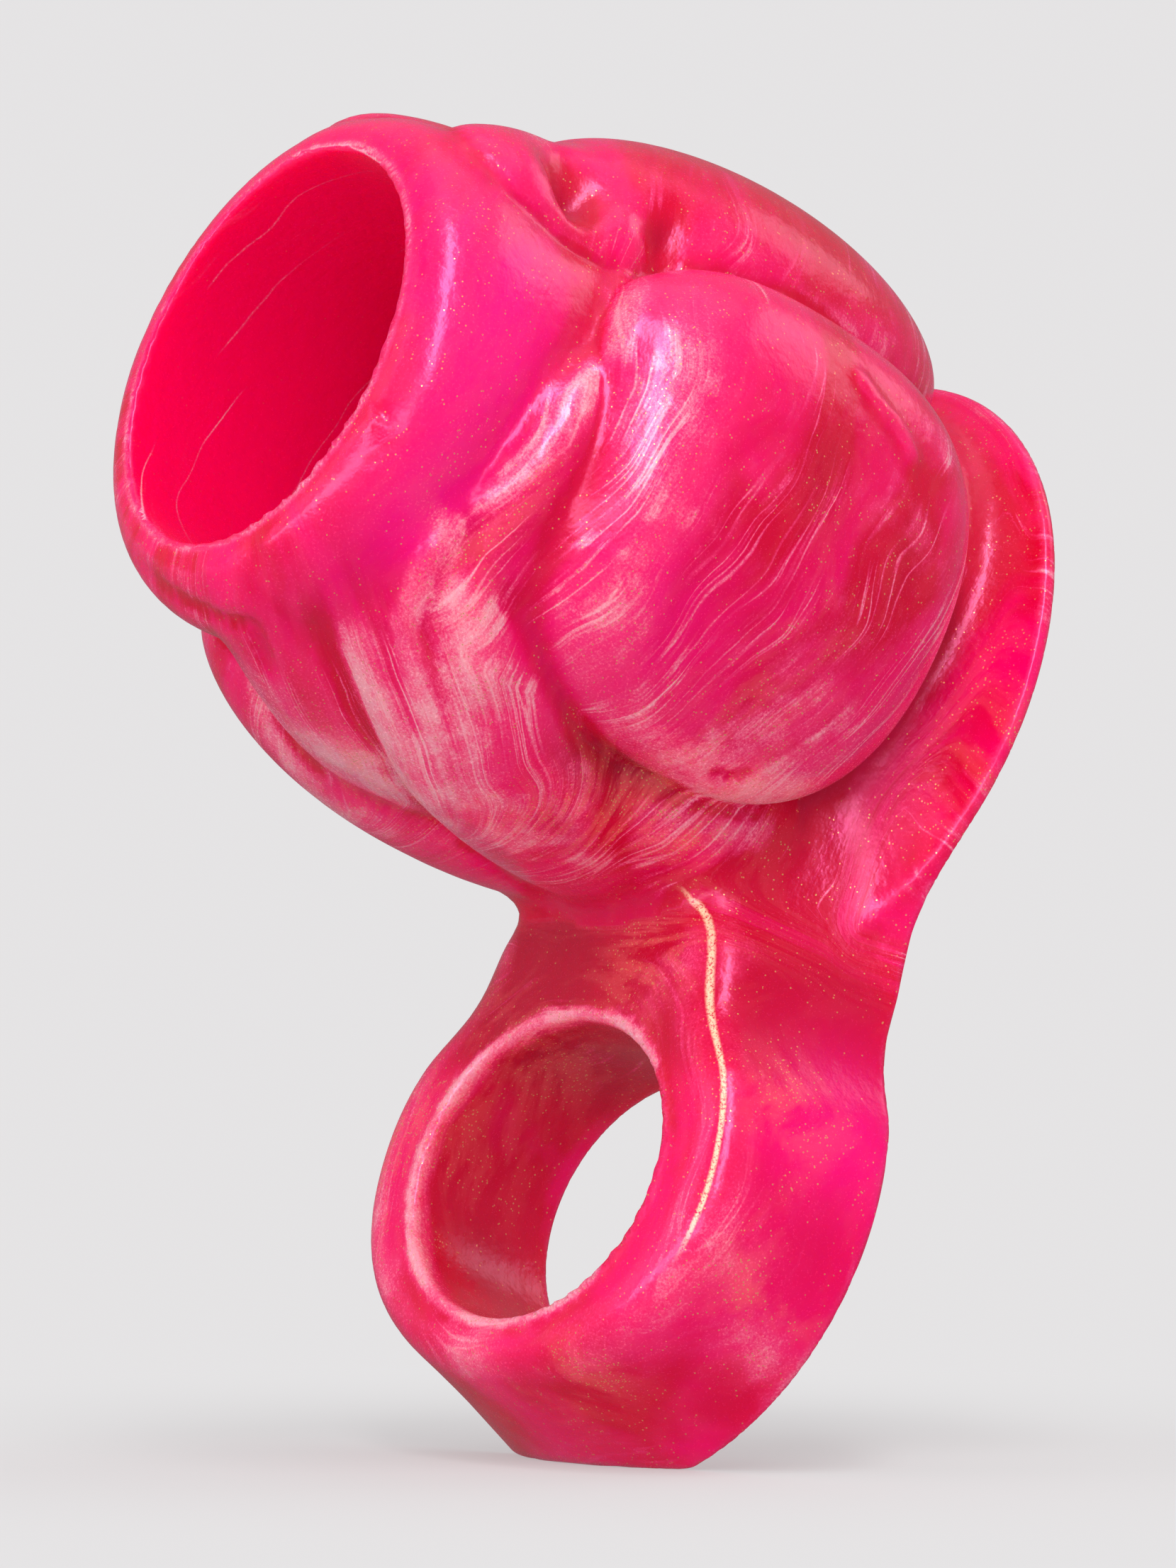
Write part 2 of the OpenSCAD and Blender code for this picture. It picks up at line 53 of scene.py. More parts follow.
WELL_R, CUP_LEN, FLOOR_T, WELL_FILLET = 19.0, 70.6, 6.0, 5.0
COLLAR_R, COLLAR_BACK_R, LIP_ROLL, COLLAR_TOP_FLAT = 25.2, 24.2, 7.0, 0.7
BODY_R, BODY_GROW, LOBE_ROOT_R, CREASE = 23.0, 1.8, 23.3, 1.2
BROW_AT, BROW_HALF, BROW_FROM, BROW_SOFT = 52, math.radians(26), 49, 2.6  # softer creases by the brow
ARC_R = 30.0
FOLD_ARC = math.radians(1) * 29
PLATE_RX, PLATE_RY, PLATE_DROP, PLATE_EDGE, PLATE_RISE, SAUCER_W = 30.8, 30.6, 4.2, 1.3, 5.5, 9.0
RING_DROP, HOLE_RX, HOLE_RY, RING_RX, RING_RY = 58.3, 17.4, 14.4, 29.0, 27.6
RING_RISE, RING_T, RING_DRAFT, RING_DRAFT_LOW, RING_ROUND = 1.7, 16.8, 0.21, 0.50, 3.6
RING_DRAFT_REACH = 20  # distance from the hole's middle at which the lower draft is reached
RING_CLIMB = 0.08  # how far the ring's side moves, along u, with depth
NECK_W, NECK_DRAFT, NECK_DRAFT_LOW = 23.3, 0.66, 0.24
NECK_DRAFT_FROM, NECK_DRAFT_OVER = -27, 18  # where the neck's draft starts to ease, and over what length
NECK_SWELL, NECK_SWELL_AT, NECK_SWELL_HALF = 1.0, -41, 6
SIDE_TURN_FROM, SIDE_TURN_OVER = -35, 14  # where the neck's side starts to turn into the ring's
SLAB_TOP = -12  # the slab ends here, inside the bulb
JOIN_BULB, JOIN_SLAB = 1.5, 4.0  # softness of the corners with the plate and with the neck
LEAN, FOOT_CUT, FOOT_HALF = math.radians(20.3), 2.9, 2.6

AXIS_H = (RING_DROP - RING_RISE + RING_RY) * math.cos(LEAN) - FOOT_CUT
AXIS_BACK = AXIS_H * math.tan(LEAN) + FOOT_HALF

# each lobe: direction in degrees, place along the axis, half width in degrees, half length,
# slant in degrees per mm, crest radius, squareness of its outline, width of its rounded rim,
# roundness power of that rim, height of the gentle crown inside the rim, how much wider the rim is
# on the mouth side, how far the crest falls by the mouth end
LOBES = {
    "cheek": (-28, 35.0, 52, 25.0, 0, 29.4, 2.6, 16, 2, 0, 0, 0),
    "side_dome": (-9, 31.7, 50, 22.2, 0.12, 34.9, 3.0, 7.6, 2.5, 2.8, 1.0, 0),
    "upper": (68, 31.0, 34, 24.5, 0, 34.3, 2.3, 17.8, 2, 0, 0, 0),
    "brow": (58, 51.5, 22, 14.0, 0, 29.0, 2.3, 11.5, 2, 0, 0, 0),
    "crown": (99, 48.0, 24, 20.0, 0, 28.0, 2.3, 12.5, 2, 0, 0, 0),
    "chin": (-81, 20.5, 33, 15.5, 0, 32.9, 2.3, 8, 2, 1.5, 0, 0),
    "jowl": (-70.5, 42.0, 24.5, 38.0, 0.97, 33.8, 2.8, 7.5, 2, 1.2, 0, 19),
    "fold": (-103, 42.0, 22, 27.0, 0.8, 31.8, 2.4, 9, 2, 1.0, 0, 5),
    "keel": (-121, 30.5, 27, 28.0, -0.27, 36.2, 2.3, 14.1, 2, 0, 0, 0),
    "shoulder": (141, 37.0, 30, 28.0, 0, 31.5, 2.3, 15.7, 2, 0, 0, 0),
    "far_dome": (-165, 34.0, 33, 29.0, 0, 33.3, 2.3, 17.3, 2, 0, 0, 0),
}
# each dimple: direction, place, half widths, depth
DIMPLES = [(50, 55.0, 4.5, 3.3, 4.6), (45, 46.3, 2.6, 1.8, 1.3)]

# fine folds drawn on the bulb: height (a groove's is negative), half width, and the direction and
# place of each point it passes
FOLDS = {
    "ribbon": (0.8, 1.1, [(46, 50.3), (40, 49.5), (33, 49.8), (24, 51.5), (12, 53.3), (0, 54.6), (-14, 57),
                          (-28, 59.5), (-42, 60.8), (-54, 58.8), (-63, 53), (-70, 46)]),
    "pit_rim": (0.4, 1.1, [(55, 58.6), (46, 58.4), (41, 56.5), (40.5, 53.5), (44, 51.3), (50, 51)]),
    "under_collar": (-0.7, 1.0, [(-130, 69.6), (-112, 69), (-100, 68.2), (-90, 67), (-81, 65.6),
                                 (-84, 63), (-90, 59)]),
    "curl": (0.7, 0.8, [(22, 31), (20.5, 29.5), (17.5, 27.3), (16, 25.2), (13.5, 23.7), (10, 22.3)]),
    "crescent": (-0.45, 0.7, [(-47.5, 27), (-46, 24.8), (-43.5, 23.2)]),
    "valley_fill": (0.9, 2.4, [(6, 54), (-8, 55.2), (-20, 56.3), (-32, 56.6), (-42, 55.5), (-50, 52),
                               (-55, 47)]),
}

FLASH_H, FLASH_W = 0.45, 0.45  # height and half width of the ragged casting edge
VOXEL = 0.9
GRID_LOW, GRID_HIGH = (-36, -87, -1.7), (38, 37, 73)  # clear of the casting on every side


# ---------------------------------------------------------------- the solid field

def soft_max(a, b, k):
    h = np.clip(0.5 + 0.5 * (a - b) / k, 0, 1)
    return b * (1 - h) + a * h + k * h * (1 - h)


def soft_min(a, b, k):
    return -soft_max(-a, -b, k)


def ease(v):
    v = np.clip(v, 0, 1)
    return v * v * (3 - 2 * v)


def turned(angle, at_degrees):
    """Signed angle from a direction, in radians, between -pi and pi."""
    return (angle - math.radians(at_degrees) + math.pi) % TURN - math.pi


def collar_radius(n):
    middle = CUP_LEN - LIP_ROLL
    lip_r = WELL_R + 1
    t = np.clip((n - middle) / LIP_ROLL, 0, 1)
    front = lip_r + (COLLAR_R - lip_r) * np.sqrt(1 - t * t)
    back = COLLAR_BACK_R + (COLLAR_R - COLLAR_BACK_R) * np.exp(-(((n - middle) / LIP_ROLL) ** 2))
    return np.where(n > middle, front, back)


def body_radius(n, angle):
    low = BODY_R + BODY_GROW * np.clip((n - 10) / 30, 0, 1)
    w = ease((n - 47) / 12)
    flat = COLLAR_TOP_FLAT * np.clip(np.sin(angle), 0, 1) * np.clip((n - 56) / 8, 0, 1)
    return low * (1 - w) + collar_radius(n) * w - flat


def lobe_radius(n, angle, at, place, span, length, slant, crest, square, rim, power, crown,
                mouth_rim, fall):
    """One swelling: it climbs over its rounded rim, then crowns gently to its crest."""
    up = n - place
    side = turned(angle - np.radians(slant) * up, at) * ARC_R
    wide = math.radians(span) * ARC_R
    rho = (np.abs(side / wide) ** square + np.abs(up / length) ** square) ** (1 / square)
    forward = np.clip(up / length, 0, 1) ** 1.5
    climb = np.clip((1 - rho) * min(wide, length) / (rim * (1 + mouth_rim * forward)), 0, 1)
    rise = crest - crown - LOBE_ROOT_R - fall * forward
    inside = LOBE_ROOT_R + rise * (1 - (1 - climb) ** power) ** (1 / power) + crown * (1 - rho * rho)
    return np.where(rho < 1, inside, LOBE_ROOT_R - 20 * (rho - 1))


def fold_height(n, angle, high, wide, route):
    """A rounded ridge or groove along a route, fading out at both ends."""
    at = np.degrees(turned(angle, 0))
    best = np.full(n.shape, 1e9)
    fade = np.zeros(n.shape)
    last = len(route) - 1
    for i in range(last):
        (a0, n0), (a1, n1) = route[i], route[i + 1]
        sx, sn = (a1 - a0) * FOLD_ARC, n1 - n0
        px, pn = (at - a0) * FOLD_ARC, n - n0
        t = np.clip((px * sx + pn * sn) / (sx * sx + sn * sn), 0, 1)
        gap = (px - t * sx) ** 2 + (pn - t * sn) ** 2
        nearer = gap < best
        best = np.where(nearer, gap, best)
        fade = np.where(nearer, (i + t) / last, fade)
    return high * np.exp(-best / wide**2) * ease(np.minimum(fade, 1 - fade) / 0.15)


def bulb_radius(n, angle, fine=False):
    r = body_radius(n, angle)
    near_brow = np.exp(-((turned(angle, BROW_AT) / BROW_HALF) ** 2)) * ease((n - BROW_FROM) / 6)
    crease = CREASE + BROW_SOFT * near_brow if fine else CREASE
    for lobe in LOBES.values():
        r = soft_max(r, lobe_radius(n, angle, *lobe), crease)
    for at, place, wide, long, deep in DIMPLES:
        s = turned(angle, at) * 28 / wide
        t = (n - place) / long
        r = r - deep * np.exp(-s * s - t * t)
    if fine:
        for fold in FOLDS.values():
            r = r + fold_height(n, angle, *fold)
    return r


def flash(off, angle, fine):
    """Height of the thin, ragged casting edge, off millimetres from its crest."""
    if not fine:
        return 0.0
    ragged = 0.55 + 0.25 * np.sin(19 * angle) * np.sin(31 * angle + 1) + 0.20 * np.sin(53 * angle + 2)
    return FLASH_H * ragged * np.exp(-((off / FLASH_W) ** 2))


def bulb_field(x, u, n, fine):
    r = np.hypot(x, u)
    top = CUP_LEN + flash(r - WELL_R - 0.4, np.arctan2(u, x), fine)
    f = (r - bulb_radius(np.clip(n, 0, CUP_LEN), np.arctan2(u, x), fine)) * 0.85
    return soft_max(f, n - top, 0.8)


def plate_field(x, u, n):
    out = (np.hypot(x / PLATE_RX, (u + PLATE_DROP) / PLATE_RY) - 1) * 30.7
    top = PLATE_EDGE + PLATE_RISE * np.clip(-out / SAUCER_W, 0, 1) ** 1.6
    return soft_max(out, (n - top) * 0.8, 0.6)


def hole_field(x, u):
    return (1 - np.hypot(x / HOLE_RX, (u + RING_DROP) / HOLE_RY)) * 15.5


def ring_side(x, u, depth):
    below = np.clip((-u - RING_DROP) / RING_DRAFT_REACH, -1, 1)
    rx = RING_RX - RING_DRAFT * depth
    ry = RING_RY - (RING_DRAFT + (RING_DRAFT_LOW - RING_DRAFT) * np.abs(below)) * depth
    return (np.hypot(x / rx, (u + RING_DROP - RING_RISE + RING_CLIMB * depth) / ry) - 1) * 27


def neck_side(x, u, depth):
    """The sides slope in steeply by the plate and more gently by the ring."""
    eased = ease((NECK_DRAFT_FROM - u) / NECK_DRAFT_OVER)
    draft = NECK_DRAFT_LOW + (NECK_DRAFT - NECK_DRAFT_LOW) * (1 - eased)
    swell = NECK_SWELL * np.exp(-(((u - NECK_SWELL_AT) / NECK_SWELL_HALF) ** 2))
    return (np.abs(x) - NECK_W + draft * depth - swell) * 0.85


def slab_field(x, u, n, fine):
    """Ring and neck: one slab whose side turns gradually from the neck's into the ring's."""
    depth = np.clip(n, 0, RING_T)
    w = ease((SIDE_TURN_FROM - u) / SIDE_TURN_OVER)
    side = neck_side(x, u, depth) * (1 - w) + ring_side(x, u, depth) * w
    top = RING_T + flash(hole_field(x, u) + 0.5, np.arctan2(u + RING_DROP, x), fine)
    slab = soft_max(side, n - top, RING_ROUND)
    return soft_max(np.maximum(slab, u - SLAB_TOP), hole_field(x, u), 0.8)


def well_field(x, u, n):
    return soft_max(np.hypot(x, u) - WELL_R, FLOOR_T - n, WELL_FILLET)


def height(u, n):
    return u * math.cos(LEAN) + n * math.sin(LEAN) + AXIS_H


def field(x, u, n, fine=True):
    """Negative inside the silicone, in about millimetres."""
    bulb = soft_min(bulb_field(x, u, n, fine), plate_field(x, u, n), JOIN_BULB)
    solid = soft_min(bulb, slab_field(x, u, n, fine), JOIN_SLAB)
    solid = soft_max(solid, -well_field(x, u, n), 0.7)
    solid = soft_max(solid, -n, 0.5)
    return soft_max(solid, -height(u, n), 0.4)


# ---------------------------------------------------------------- level surface to mesh

def surface_nets(lo, hi, step):
    """One point for each cell that the surface crosses, and one quad for each crossed edge."""
    axes = [np.arange(lo[i], hi[i] + step, step) for i in range(3)]
    gx, gu, gn = np.meshgrid(*axes, indexing="ij")
    values = field(gx, gu, gn, fine=False)
    inside = values < 0
    nx, nu, nn = values.shape
    corners = [(i, j, k) for i in (0, 1) for j in (0, 1) for k in (0, 1)]
    count = sum(inside[i:nx - 1 + i, j:nu - 1 + j, k:nn - 1 + k].astype(np.int8) for i, j, k in corners)
    cells = np.nonzero((count > 0) & (count < 8))
    index = np.full(count.shape, -1, np.int64)
    index[cells] = np.arange(len(cells[0]))
    at_corner = [values[cells[0] + i, cells[1] + j, cells[2] + k] for i, j, k in corners]
    total = np.zeros((len(cells[0]), 3))
    crossings = np.zeros(len(cells[0]))
    for a in range(8):
        for b in range(a + 1, 8):
            move = np.subtract(corners[b], corners[a])
            if np.abs(move).sum() != 1:
                continue
            crossed = (at_corner[a] < 0) != (at_corner[b] < 0)
            span = at_corner[a] - at_corner[b]
            t = np.where(crossed, at_corner[a] / np.where(crossed, span, 1), 0)
            total += crossed[:, None] * (np.array(corners[a]) + t[:, None] * move)
            crossings += crossed
    origin = np.stack([axes[i][cells[i]] for i in range(3)], -1)
    points = origin + total / crossings[:, None] * step
    quads = []
    for axis in range(3):
        first, second = [slice(1, -1)] * 3, [slice(1, -1)] * 3
        first[axis], second[axis] = slice(0, -1), slice(1, None)
        changes = inside[tuple(first)] != inside[tuple(second)]
        at = np.array(np.nonzero(changes)).T
        others = [q for q in range(3) if q != axis]
        at[:, others] += 1
        enters = inside[tuple(second)][changes]
        around = []
        for back in ((1, 1), (0, 1), (0, 0), (1, 0)):
            cell = at.copy()
            cell[:, others] -= back
            around.append(index[tuple(cell.T)])
        quad = np.stack(around, -1)
        flip = enters if axis != 1 else ~enters
        quad[flip] = quad[flip][:, ::-1]
        quads.append(quad)
    return points, np.concatenate(quads)


def gradient(points, reach=0.05):
    out = np.empty_like(points)
    for i in range(3):
        move = np.zeros(3)
        move[i] = reach
        out[:, i] = (field(*(points + move).T) - field(*(points - move).T)) / (2 * reach)
    return out


def settle(points, rounds, limit):
    """Moves the points onto the surface along its slope, never further than limit at a time."""
    for _ in range(rounds):
        slope = gradient(points)
        square = np.maximum((slope**2).sum(1), 0.05)
        move = -(field(*points.T) / square)[:, None] * slope
        size = np.linalg.norm(move, axis=1)
        points = points + move * np.minimum(1, limit / np.maximum(size, 1e-9))[:, None]
    return points


def refine(points, quads, chosen):
    """Cuts the chosen quads in four. A neighbour takes the new edge points as extra corners."""
    edges = np.sort(np.stack([quads, np.roll(quads, -1, axis=1)], -1), -1)
    unique, where = np.unique(edges.reshape(-1, 2), axis=0, return_inverse=True)
    where = where.reshape(-1, 4)
    split = np.zeros(len(unique), bool)
    split[where[chosen]] = True
    middle = np.full(len(unique), -1)
    middle[split] = len(points) + np.arange(split.sum())
    centre = len(points) + split.sum() + np.arange(chosen.sum())
    points = np.concatenate([points, points[unique[split]].mean(1), points[quads[chosen]].mean(1)])
    corner, side = quads[chosen], middle[where[chosen]]
    small = [
        np.stack([corner[:, i], side[:, i], centre, side[:, i - 1]], -1) for i in range(4)
    ]
    touched = (middle[where] >= 0).any(1) & ~chosen
    faces = [np.concatenate([quads[~chosen & ~touched], *small])]
    odd = []
    for quad, mids in zip(quads[touched], middle[where[touched]]):
        odd.append([v for pair in zip(quad, mids) for v in pair if v >= 0])
    return points, faces[0], odd


def near_edges(points):
    """True near the crisp edges: the lip, both ends of the hole and the plate's rim."""
    x, u, n = points.T
    r = np.hypot(x, u)
    hole = hole_field(x, u)
    lip = (n > CUP_LEN - 1.6) & (r < WELL_R + 2.2)
    hole_edge = (np.abs(hole) < 1.3) & ((n < 1.3) | (n > RING_T - 1.6)) & (u < -25)
    rim = (n < PLATE_EDGE + 0.9) & (field(x, u, n + 1.5) > -1.0) & (hole < -2)
    return lip | hole_edge | rim


points, quads = surface_nets(GRID_LOW, GRID_HIGH, VOXEL)
points = settle(points, 3, 0.3 * VOXEL)
chosen = near_edges(points[quads].mean(1))
points, quads, odd = refine(points, quads, chosen)
points = settle(points, 3, 0.2 * VOXEL)
normals = gradient(points)
normals /= np.maximum(np.linalg.norm(normals, axis=1), 1e-9)[:, None]


# ---------------------------------------------------------------- the mesh object

def place(p):
    """Cup frame in millimetres to the row frame in metres."""
    x, u, n = np.asarray(p, float).T
    y = u * math.sin(LEAN) - n * math.cos(LEAN) + AXIS_BACK
    z = u * math.cos(LEAN) + n * math.sin(LEAN) + AXIS_H
    return np.stack([x, y, z], -1) * MM


def mesh_from(name, coords, quads, odd):
    corners = np.concatenate([quads.ravel(), np.array([v for f in odd for v in f], np.int64)])
    sizes = np.concatenate([np.full(len(quads), 4), np.array([len(f) for f in odd], np.int64)])
    mesh = bpy.data.meshes.new(name)
    mesh.vertices.add(len(coords))
    mesh.vertices.foreach_set("co", coords.astype(np.float32).ravel())
    mesh.loops.add(len(corners))
    mesh.loops.foreach_set("vertex_index", corners.astype(np.int32))
    mesh.polygons.add(len(sizes))
    mesh.polygons.foreach_set("loop_start", np.concatenate([[0], np.cumsum(sizes)[:-1]]).astype(np.int32))
    mesh.update(calc_edges=True)
    mesh.polygons.foreach_set("use_smooth", np.ones(len(sizes), bool))
    mesh.validate()
    obj = bpy.data.objects.new(name, mesh)
    bpy.context.scene.collection.objects.link(obj)
    return obj


casting = mesh_from("casting", place(points), quads, odd)
print("casting:", len(points), "points,", len(quads) + len(odd), "faces")
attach(casting, "root")
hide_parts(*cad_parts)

# ---------------------------------------------------------------- paint guides on the mesh

x, u, n = points.T
r = np.hypot(x, u)
direction = np.degrees(turned(np.arctan2(u, x), 0))
inside_well = (r < WELL_R + 0.6) & (n > FLOOR_T - 1)
on_slab = ease((-30 - u) / 8) * (n < RING_T + 0.4) * ease((r - 31.5) / 3)
hole_r = np.hypot(x, u + RING_DROP)


def bulge(rounds):
    """How far each point stands out of its smoothed surroundings, in millimetres."""
    edges = np.unique(np.sort(np.concatenate(
        [quads[:, [i, (i + 1) % 4]] for i in range(4)]), axis=1), axis=0)
    start, end = edges.T
    share = np.bincount(np.concatenate([start, end]), minlength=len(points))[:, None]
    smooth = points.copy()
    for _ in range(rounds):
        total = np.zeros_like(points)
        for i in range(3):
            total[:, i] = (np.bincount(start, smooth[end, i], len(points))
                           + np.bincount(end, smooth[start, i], len(points)))
        smooth = np.where(share > 0, 0.5 * smooth + 0.5 * total / np.maximum(share, 1), smooth)
    return ((points - smooth) * normals).sum(1)


fine_bulge, broad_bulge = bulge(10), bulge(70)
# the ridge measure puts pearl and a painted highlight on the crests; the hollow measure paints shade into
# the hollows
ridge = np.clip(fine_bulge / 0.10, 0, 1)
hollow_shade = np.clip(-fine_bulge / 0.10, 0, 1) * 0.6 + np.clip(-broad_bulge / 0.7, 0, 1) * 0.6


def patch(at, place, wide, long, slant=0.0):
    """A soft blot on the bulb, round a direction and a place, sizes in millimetres."""
    side = np.radians((direction - at - slant * (n - place) + 180) % 360 - 180) * 30
    return np.exp(-(side / wide) ** 2 - ((n - place) / long) ** 2)


def spot(x0, u0, n0, size):
    """A soft blot anywhere on the casting."""
    return np.exp(-((x - x0) ** 2 + (u - u0) ** 2 + (n - n0) ** 2) / size**2)


def stroke(route, wide):
    """A soft band along a route on the bulb."""
    return fold_height(n, np.arctan2(u, x), 1.0, wide, route)


# pearl, deep and gold: where each pigment shows, as blots and strokes on the bulb and spots
# on the slab. The pearl guide also paints some highlights, and the deep guides also paint shade
bulb_part = (1 - on_slab) * (~inside_well)
# a pale line along the lip's inner edge: a painted highlight
lip_highlight = (n > 69.5) * np.exp(-((r - WELL_R - 0.6) / 0.6) ** 2)
pearl_and_highlight = 0.5 * lip_highlight + bulb_part * (
    0.7 * stroke([(38, 50), (24, 51.5), (12, 53.3), (0, 54.6), (-14, 57), (-28, 59), (-40, 59),
                  (-52, 56)], 1.0)
    + 0.5 * stroke([(20, 54), (4, 56.5), (-12, 59), (-28, 61.5), (-40, 62)], 1.8)
    + 0.75 * stroke([(-38, 58), (-48, 56.5), (-58, 53), (-68, 46), (-76, 38), (-80, 28)], 3.6)
    + 0.85 * stroke([(-56, 64), (-68, 58.5), (-79, 50.5), (-87, 43), (-96, 35), (-104, 26)], 2.6)
    + 0.8 * stroke([(-104, 62), (-112, 52), (-116, 42), (-117, 34)], 1.8)
    # the first blot on the next line paints the highlight on the dome's upper side, as pearl
    + 0.30 * patch(16, 47.0, 4.2, 3.4) + 0.35 * patch(1, 50, 6, 2.0) + 0.25 * patch(-8, 47, 9, 4)
    + 0.6 * stroke([(30, 49.5), (38, 44), (40.5, 38), (41.7, 32), (41, 25), (36, 18), (24, 12.5)], 0.6)
    + 0.5 * stroke([(-44, 13), (-52, 19), (-54, 26)], 0.8)
    + 0.35 * patch(-42, 61, 10, 4) + 1.0 * patch(-98, 48, 6, 11) + 0.38 * patch(-34, 26, 12, 8)
    + 0.35 * patch(-36, 46, 8, 4) + 0.40 * patch(-46, 32, 5, 12) + 0.45 * patch(-50, 17, 8, 3.5)
    + 0.35 * patch(66, 58, 6, 3) + 0.15 * patch(74, 40, 5, 12) + 0.5 * patch(-78, 24, 9, 5)
)
# deep: crimson blots, some of them painted shade: on the chin under the dome's overhang, in both dimples
# and beside the jowl crease
deep = bulb_part * (
    1.3 * patch(-57, 32, 3.0, 10) + 0.8 * patch(-4, 21, 9, 4) + 0.9 * patch(2, 33, 8, 5)
    + 0.7 * patch(51, 30, 4.5, 16) + 1.0 * patch(50, 55, 4, 3.0) + 0.9 * patch(45, 46.3, 2.2, 1.8)
    + 0.5 * patch(-72, 24, 6, 3)
    + 0.5 * patch(-84, 54, 3, 4) + 0.4 * patch(20, 28, 6, 6)
)
gold = bulb_part * (
    0.9 * patch(-60, 24, 6, 8) + 0.7 * patch(-90, 47, 4, 6) + 0.7 * patch(-68, 34, 6, 7)
    + 0.5 * patch(-30, 57, 10, 3) + 0.4 * patch(-30, 28, 12, 6) + 0.4 * patch(-105, 45, 5, 12) + 0.12
    + 0.35 * (r > 24) * np.clip((7 - n) / 3, 0, 1) * np.exp(-((direction + 25) / 16) ** 2)
)
slab_gold = (
    1.0 * spot(15, -27, 10, 6) + 0.7 * spot(25, -50, 10, 5) + 1.0 * spot(26, -66, 7, 5)
    + 0.8 * spot(12, -78, 14, 4) + 0.7 * spot(4, -79, 14.5, 5) + 0.8 * spot(-22, -56, 16, 8)
    + 0.9 * spot(8, -37, 17, 6) + 0.6 * spot(-10, -46, 12, 7) + 0.10
)
hole_rim = np.exp(-((hole_field(x, u) + 0.5) / 0.8) ** 2) * ease((n - RING_T + 2.5) / 1.5) * (x < 14)
slab_pearl = on_slab * (
    0.60 * spot(15, -28, 10, 5) + 0.45 * spot(10, -40, 17, 5) + 0.3 * spot(-22, -52, 16, 6)
    + 0.35 * spot(-22, -62, 15, 6) + 0.40 * spot(-18, -70, 15, 5) + 0.40 * spot(-6, -44, 10, 6)
    + 0.60 * spot(0, -72, 8, 5) + 0.40 * spot(25.5, -65, 12, 4.5) + 0.22 * spot(22, -71, 13, 4.5)
    + 0.25 * spot(17, -75, 13, 5) + 0.5 * spot(-3, -77, 16.5, 4) + 0.45 * spot(24, -71, 4, 5)
    + 0.75 * hole_rim
)
# the gilt line, a gold deposit and a painted highlight, runs on the ridge of the right front edge where
# the skin faces one set way:
# its gap, in about millimetres, is how far the skin has turned past the ridge
GILT_HIGHLIGHT_DOWN, GILT_HIGHLIGHT_TURN, MM_PER_DEGREE = [31, 45, 60], [63, 57, 50], 0.065
skin_turn = np.degrees(np.arctan2(normals[:, 2], normals[:, 0]))
gilt_highlight_gap = MM_PER_DEGREE * (skin_turn - np.interp(-u, GILT_HIGHLIGHT_DOWN, GILT_HIGHLIGHT_TURN))
gilt_highlight = (n > 8) * ease((x - 11) / 1.5) * ease((u + 67) / 5) * ease((-30.0 - u) / 1.5)
# deep crimson on the slab, partly painted shade: the upper neck darker under the bulb, its front left of
# centre darker, and darker spots on the neck's right by the plate, painted over a lamp's reflection
slab_deep_and_shade = on_slab * (
    0.85 * ease((u + 54) / 8) + 0.9 * spot(20, -28, 5, 5) + 0.9 * spot(-8, -38, 17, 8)
    + 0.9 * spot(-15, -65, 8, 7) + 0.6 * spot(26, -60, 5, 6) + 0.6 * spot(8, -80, 8, 7)
    + 0.5 * spot(20, -30, 4, 6) + 0.4 * spot(12, -62, 17, 6)
)

# magenta: the cooler pink on the collar, the dome's upper side and the neck's right side, where it also
# paints the magenta highlight band
magenta_and_highlight = bulb_part * (patch(8, 63, 15, 6) + 0.8 * patch(-34, 64, 12, 5) + 0.5 * patch(-30, 44, 8, 6))
# the spot on the neck's right side stands partly for a highlight band: a painted highlight
magenta_and_highlight = np.clip(magenta_and_highlight + on_slab * 0.7 * spot(25, -50, 4, 8), 0, 1)

# flow: the colour changes quickly across the streaks and slowly with the place, so there is no seam
around_jowl = 0.85 * np.interp(direction, [-180, -130, -50, 180], [0, 80, 0, 0]) * ease((n - 24) / 16)
across_bulb = n + 6.5 * np.sin(np.radians(direction)) + around_jowl
on_plate = ease((r - 25) / 3) * ease((7 - n) / 3)
across_bulb = across_bulb * (1 - on_plate) + 22 * np.sin(np.radians(direction)) * on_plate
across_slab = 0.8 * n + 1.1 * hole_r
across = np.where(inside_well, n + 0.3 * u, across_bulb * (1 - on_slab) + across_slab * on_slab)

# calm: how free a place is of loose streaks
calm = bulb_part * np.clip(
    ease((n - 57) / 4) * ease((direction + 92) / 16) + 0.75 * patch(78, 42, 24, 17), 0, 0.95)
calm = np.clip(calm + on_slab * (0.6 + 0.35 * spot(20, -38, 5, 12)), 0, 0.95)


def paint(name, *channels):
    data = casting.data.attributes.new(name, "FLOAT_VECTOR", "POINT")
    data.data.foreach_set("vector", np.stack(channels, -1).astype(np.float32).ravel())


paint("flow", across, x, u)
paint("tints", pearl_and_highlight + slab_pearl, deep + slab_deep_and_shade, gold + on_slab * slab_gold)
paint("marks", gilt_highlight_gap, inside_well * 1.0, gilt_highlight)
paint("hues", magenta_and_highlight, np.zeros_like(r), np.zeros_like(r))
paint("relief", ridge, np.clip(hollow_shade, 0, 1), calm)

# ---------------------------------------------------------------- material

silicone = bpy.data.materials.new("silicone")
silicone.use_nodes = True
tree = silicone.node_tree
shader = tree.nodes["Principled BSDF"]

